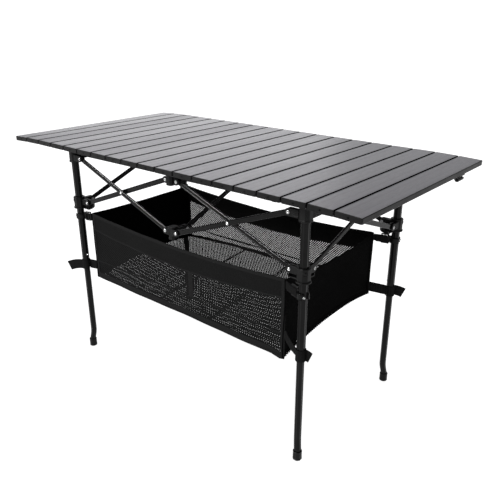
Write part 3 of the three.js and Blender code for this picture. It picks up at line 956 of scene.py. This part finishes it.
def slack(z):
    """How freely a wall hangs at height z: 0 at its rim and its bottom, 1 halfway."""
    return np.sin(math.pi * np.clip((z - BOTTOM) / (RIM - BOTTOM), 0, 1))


def ripple(a, b, size):
    """Slow waves in hanging cloth."""
    return size * (np.sin(a / 61 + 1.3) * np.cos(b / 43) + 0.5 * np.sin(a / 23 + b / 37))


def sheet_shape(at, us, vs, skin=CLOTH_SKIN):
    """A thin closed sheet of points at(u, v), given thickness about its middle."""
    nu, nv = len(us), len(vs)
    grid = np.array([[at(u, v) for v in vs] for u in us], float)
    du, dv = np.gradient(grid, axis=0), np.gradient(grid, axis=1)
    normal = np.cross(du, dv)
    normal /= np.linalg.norm(normal, axis=2, keepdims=True)
    points = np.concatenate(
        [(grid + normal * skin / 2).reshape(-1, 3), (grid - normal * skin / 2).reshape(-1, 3)]
    )
    faces = []
    back = nu * nv
    for i in range(nu - 1):
        for j in range(nv - 1):
            a = i * nv + j
            quad = (a, a + nv, a + nv + 1, a + 1)
            faces.append(quad)
            faces.append(tuple(back + k for k in quad[::-1]))
    rim = [i * nv for i in range(nu)] + [(nu - 1) * nv + j for j in range(1, nv)]
    rim += [i * nv + nv - 1 for i in range(nu - 2, -1, -1)] + list(range(nv - 2, 0, -1))
    for a, b in zip(rim, rim[1:] + rim[:1]):
        faces.append((b, a, back + a, back + b))
    return [tuple(p) for p in points], faces


def net_shape(at, normal, u_range, v_range, keep, hole, half=3.6):
    """A net of diamonds, each twice half wide, with holes that are the share hole of that width.

    at(u, v) gives points, and keep(u, v) says which diamonds are there. Both take arrays.
    """
    u0, u1 = (int(round(u / half)) for u in u_range)
    v0, v1 = (int(round(v / half)) for v in v_range)
    i, j = np.meshgrid(np.arange(u0, u1 + 1), np.arange(v0, v1 + 1), indexing="ij")
    inside = keep(i * half, j * half) & ((i + j) % 2 == 1)
    inside[[0, -1], :] = False
    inside[:, [0, -1]] = False
    ci, cj = np.nonzero(inside)
    corner_steps = ((1, 0), (0, 1), (-1, 0), (0, -1))
    knot = np.full(i.shape, -1, int)
    for di, dj in corner_steps:
        knot[ci + di, cj + dj] = 0
    ki, kj = np.nonzero(knot == 0)
    knot[ki, kj] = np.arange(len(ki))
    lift = np.where((i[ki, kj] % 2) == 0, KNOT_LIFT, -KNOT_LIFT)
    spots = [np.stack([i[ki, kj] * half, j[ki, kj] * half], 1)]
    for di, dj in corner_steps:
        spots.append(np.stack([(i[ci, cj] + di * hole) * half, (j[ci, cj] + dj * hole) * half], 1))
    start, count = len(ki), len(ci)
    faces = []
    for k, (di, dj) in enumerate(corner_steps):
        m = (k + 1) % 4
        ei, ej = corner_steps[m]
        outer_a, outer_b = knot[ci + di, cj + dj], knot[ci + ei, cj + ej]
        inner_a, inner_b = start + k * count + np.arange(count), start + m * count + np.arange(count)
        faces.append(np.stack([outer_a, outer_b, inner_b, inner_a], 1))
    spots = np.concatenate(spots)
    raised = np.concatenate([lift, np.zeros(4 * count)])
    points = at(spots[:, 0], spots[:, 1]) + raised[:, None] * np.array(normal)
    return points, np.concatenate(faces)


def net_piece(name, shape, body):
    """One object of a net's flat faces."""
    points, faces = shape
    mesh = bpy.data.meshes.new(name)
    mesh.vertices.add(len(points))
    mesh.vertices.foreach_set("co", (points * MM).ravel())
    mesh.loops.add(faces.size)
    mesh.loops.foreach_set("vertex_index", faces.ravel())
    mesh.polygons.add(len(faces))
    mesh.polygons.foreach_set("loop_start", np.arange(0, faces.size, 4))
    mesh.materials.append(NETTING)
    mesh.update(calc_edges=True)
    mesh.validate()
    return place_piece(name, mesh, body, BASKET)


def fold_long(obj):
    """Gives a long piece of the basket its own copy of its mesh."""
    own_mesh(obj)


def fold_end(obj):
    """Gives a piece across the basket its own copy of its mesh."""
    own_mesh(obj)


def strip(path, width, thick, up=(0, 0, 1)):
    """A flat strap along a path of points. Its width is along up, and its thickness across."""
    points = [Vector(p) for p in path]
    rings = []
    for k, here in enumerate(points):
        ahead = points[min(k + 1, len(points) - 1)] - points[max(k - 1, 0)]
        ahead.normalize()
        lift = Vector(up)
        lift = (lift - ahead * lift.dot(ahead)).normalized()
        side = ahead.cross(lift).normalized()
        w, t = width / 2, thick / 2
        edge = min(t, 0.6)
        outline = [(-w + edge, -t), (w - edge, -t), (w, -t + edge), (w, t - edge), (w - edge, t)]
        outline += [(-w + edge, t), (-w, t - edge), (-w, -t + edge)]
        rings.append([tuple(here + lift * a + side * b) for a, b in outline])
    return loft(rings)


# Each long side: its name, its hem's width, the hole share of its net, and the net's cut height
LONG_SIDES = {-1: ("front", 20, 0.48, 0.149), 1: ("rear", 9, 0.34, 0.124)}
FLOOR_HOLE = 0.28
POCKET_SEAM = 39  # where the short upright binding of the front net is, in X


def add_long_side(side):
    """One long side: a cloth band, net below it, and the bindings that edge them."""
    end, hem, hole, net_height = LONG_SIDES[side]
    body = f"low_hub_{end}"
    wall = side * HALF

    def wall_y(x, z):
        return wall - side * (1.5 + 3 * slack(z) * (1 - along(x) ** 2)) + ripple(x, z, 1.2)

    def band_at(u, v):
        x = LEFT + 2 + (RIGHT - LEFT - 4) * u
        z = rim_z(x) + (band_z(x) - rim_z(x)) * v
        return x, wall_y(x, z), z

    def net_at(x, z):
        return np.stack([x, wall_y(x, z), z], 1)

    def in_net(x, z):
        over_hem = z > floor_z(x, wall) + hem * 0.5
        return (x > LEFT + 4) & (x < RIGHT - 4) & (z < band_z(x) + 4) & over_hem

    def level_path(z_at):
        return [(x, wall_y(x, z_at(x)), z_at(x)) for x in np.linspace(LEFT + 2, RIGHT - 2, 61)]

    def upright_path(x, bottom, top, count):
        return [(x, wall_y(x, z), z) for z in np.linspace(bottom, top, count)]

    cloth = sheet_shape(band_at, np.linspace(0, 1, 49), np.linspace(0, 1, 9))
    band = piece(f"band_{end}", [cloth], CLOTH["XZ"], body, BASKET, crease=60)
    lattice = net_shape(net_at, (0, 1, 0), (LEFT, RIGHT), (BOTTOM - 15, RIM), in_net, hole)
    net = net_piece(f"net_{end}", lattice, body)
    bindings = [
        strip(level_path(lambda x: rim_z(x) - 3.5), 9, 3.0),
        strip(level_path(lambda x: band_z(x) + 1), 5, 2.2),
        strip(level_path(seam_z), 4.2, 2.4),
        strip(level_path(lambda x: hem_z(x, wall) + hem / 2 - 1), hem, 2.6),
    ]
    for x in (LEFT + 5, RIGHT - 5):
        bindings.append(strip(upright_path(x, floor_z(x, wall), rim_z(x), 12), 12, 3.2, (1, 0, 0)))
    if side < 0:
        seam = upright_path(POCKET_SEAM, seam_z(POCKET_SEAM), band_z(POCKET_SEAM), 8)
        bindings.append(strip(seam, 18, 1.6, (1, 0, 0)))
    edging = piece(f"bindings_{end}", bindings, BINDING, body, ())
    for obj in (band, net, edging):
        fold_long(obj)


def add_end_panel(side):
    """A solid cloth end, with a binding round it."""
    name, wall = ("left", LEFT) if side < 0 else ("right", RIGHT)
    body = f"slider_front_{name}"

    def wall_x(y, z):
        hang = 1.5 + 6 * slack(z) * (1 - (y / HALF) ** 2)
        return wall - side * hang + ripple(y + 400 * side, z, 1.6)

    def panel_at(u, v):
        y = (2 * u - 1) * (HALF - 2)
        bottom = floor_z(wall, y)
        z = bottom + (end_rim_z(y, side) - bottom) * v
        return wall_x(y, z), y, z

    def level_path(z_at):
        return [(wall_x(y, z_at(y)), y, z_at(y)) for y in np.linspace(2 - HALF, HALF - 2, 41)]

    cloth = sheet_shape(panel_at, np.linspace(0, 1, 33), np.linspace(0, 1, 17))
    # Painted shade: the end panel and its binding take the shaded copy of the black cloth
    panel = piece(f"end_panel_{name}", [cloth], CLOTH["YZ"], body, BASKET, crease=60)
    bindings = [
        strip(level_path(lambda y: end_rim_z(y, side) - 3.5), 9, 3.0),
        strip(level_path(lambda y: floor_z(wall, y) + 6), 13, 2.8),
    ]
    for y in (4.5 - HALF, HALF - 4.5):
        heights = np.linspace(floor_z(wall, y), end_rim_z(y, side), 12)
        bindings.append(strip([(wall_x(y, z), y, z) for z in heights], 12, 3.2, (0, 1, 0)))
    trim = piece(f"end_binding_{name}", bindings, CLOTH["YZ"], body, ())
    fold_end(panel)
    fold_end(trim)


# Each floor part: its name, its body, its ends, its height over the hem, and its tapes across
FLOOR_PARTS = (
    ("left", "slider_front_left", LEFT, LEFT + 280, 2.2, [LEFT + 6]),
    ("middle", "low_hub_front", LEFT + 270, RIGHT - 270, 1.0, []),
    ("right", "slider_front_right", RIGHT - 280, RIGHT, 3.4, [RIGHT - 6]),
)


def add_floor_part(name, body, x0, x1, above, tapes_at):
    """A third of the net floor. The thirds slide over each other when the frame folds."""
    tape = 12

    def net_at(x, y):
        z = floor_z(x, y) + above + 0.8 * (np.sin(x / 57) * np.cos(y / 41 + 0.7))
        return np.stack([x, y, z], 1)

    def in_net(x, y):
        return (x > x0) & (x < x1) & (np.abs(y) < HALF - 1)

    def tape_at(x, y):
        return x, y, floor_z(x, y) + above + 0.4

    across = (-HALF - 8, HALF + 8)
    lattice = net_shape(net_at, (0, 0, 1), (x0 - 8, x1 + 8), across, in_net, FLOOR_HOLE)
    net = net_piece(f"net_floor_{name}", lattice, body)
    fold_end(net)
    edges = []
    for y in (tape / 2 - HALF, HALF - tape / 2):
        edges.append(strip([tape_at(x, y) for x in np.linspace(x0, x1, 25)], tape, 1.4, (0, 1, 0)))
    for x in tapes_at:
        path = [tape_at(x, y) for y in np.linspace(1 - HALF, HALF - 1, 25)]
        edges.append(strip(path, tape, 1.4, (1, 0, 0)))
    fold_end(piece(f"floor_edge_{name}", edges, BINDING, body, ()))


# ---- straps that hold the basket to the legs ----

# For each corner: the heights of its clip and of the lower strap's loop, how far the lower strap
# climbs from the leg to the basket, its width on the way, and the length of its loose tail
STRAPS = {
    "front_left": (461, 299, 0, 30, 46),
    "front_right": (454, 300, 30, 20, 12),
    "rear_left": (458, 302, 4, 30, 30),
    "rear_right": (459, 304, 0, 30, 26),
}
CLIP_BORE, CLIP_RADIUS, CLIP_OPENING = 11.8, 14.6, 0.5
CLIP_STUD = ((2.7, 10), (2.7, 15.2), (2.3, 15.8), (1.4, 16.1), (0.05, 16.2))
BUCKLE_START, BUCKLE_STOP, BUCKLE_HALF = 17, 39, 12.5
WRAP_RADIUS = 11.9


def strap_line(post):
    """From a leg to the basket's nearest corner: the angle in plan, and the distance."""
    px, py = POSTS[post]
    sx, sy = math.copysign(1, px), math.copysign(1, py)
    corner = Vector((RIGHT if sx > 0 else LEFT, sy * HALF, 0)) - Vector((sx * 2, sy * 2, 0))
    inward = Vector((corner.x - px, corner.y - py, 0))
    return math.atan2(inward.y, inward.x), inward.length


def clip_shapes(reach):
    """The clip round a tube, open on its far side, its lug, and the frame of the buckle."""
    half_turn = math.pi - CLIP_OPENING
    wall = arc(0, 0, CLIP_RADIUS, -half_turn, half_turn, 30)
    wall += arc(0, 0, CLIP_BORE, half_turn, -half_turn, 30)
    parts = [prism(wall, -8, 8, 0.7)]
    parts += [prism(wall, level - 1.1, level + 1.1, 0.3) for level in (-6.5, 6.5)]
    parts.append(prism(box_outline(12, 19, -3.2, 3.2), -10, 10, 0.6))
    upright = Matrix.Rotation(math.pi / 2, 4, "X")
    x0, x1 = BUCKLE_START, min(BUCKLE_STOP, reach - 6)
    for y in (-BUCKLE_HALF, BUCKLE_HALF):
        rail = prism(box_outline(x0, x1, y - 1.6, y + 1.6), -2.2, 2.2, 0.5)
        parts.append(moved(rail, upright))
    for x in (x0 + 1.5, (x0 + x1) / 2, x1 - 1.5):
        rung = prism(box_outline(x - 1.6, x + 1.6, -13, 13), -1.7, 1.7, 0.5)
        parts.append(moved(rung, upright))
    return parts


def upper_strap(reach, rise):
    """The strap through the buckle, with its end doubled back."""
    start = (BUCKLE_START + 2) / reach
    path = [(reach * t, 0.9, rise * t * t) for t in np.linspace(start, 1.0, 9)]
    back = [(x, y + 2.6, z - 1) for x, y, z in path[:7]]
    return [strip(path, 20, 1.6), strip(back, 20, 1.6)]


def lower_strap(reach, rise, width, flap):
    """From the basket's lower corner to the tube, round it, and on to its loose tail."""
    lead = [(reach * t, 4.2 * (1 - t), rise * t * t) for t in np.linspace(1.0, 11.5 / reach, 8)]
    angles = np.linspace(0.45, math.tau - 0.45, 28)
    loop = [(WRAP_RADIUS * math.cos(a), WRAP_RADIUS * math.sin(a), 0) for a in angles]
    start = Vector((12.6 * math.cos(-2.5), 12.6 * math.sin(-2.5), 0))
    steps = [Vector((-flap * t, -3 * t, -9 * t * t * flap / 40)) for t in np.linspace(0, 1, 9)]
    tail = [tuple(start + step) for step in steps]
    return [strip(lead, width, 2.0), strip(loop, 31, 2.0), strip(tail, 31, 2.0)]


def add_straps(post):
    """The clip with its stud, and both straps between a leg and the basket."""
    angle, reach = strap_line(post)
    clip_z, wrap_z, *lower = STRAPS[post]
    body = f"slider_{post}"
    toward = Matrix.Rotation(angle, 4, "Z")
    at_clip = at_post(post, clip_z)
    shapes = [moved(part, at_clip @ toward) for part in clip_shapes(reach)]
    piece(f"leg_clip_{post}", shapes, BLACK_PLASTIC, body, ())
    out = Matrix.Rotation(outward(post), 4, "Z") @ Matrix.Rotation(math.pi / 2, 4, "Y")
    stud = moved(turned(CLIP_STUD, 20), at_clip @ out)
    piece(f"clip_stud_{post}", [stud], STEEL, body, ())
    webs = [moved(part, at_clip @ toward) for part in upper_strap(reach, RIM - 14 - clip_z)]
    at_wrap = at_post(post, wrap_z) @ toward
    webs += [moved(part, at_wrap) for part in lower_strap(reach, *lower)]
    piece(f"corner_straps_{post}", webs, WEBBING, body, ())


add_camera()
add_world()
for lamp_facts in LIGHTS:
    add_light(*lamp_facts)
add_floor()
slats = slat_places()
add_slats(slats)
add_hook(slats[-1])
add_top_hubs()
add_low_hubs()
add_sliders()
add_bars()
for corner_post in CORNERS:
    add_upper_leg(corner_post)
    add_lower_leg(corner_post)
for hand in (-1, 1):
    add_long_side(hand)
    add_end_panel(hand)
for floor_part in FLOOR_PARTS:
    add_floor_part(*floor_part)
for corner_post in CORNERS:
    add_straps(corner_post)
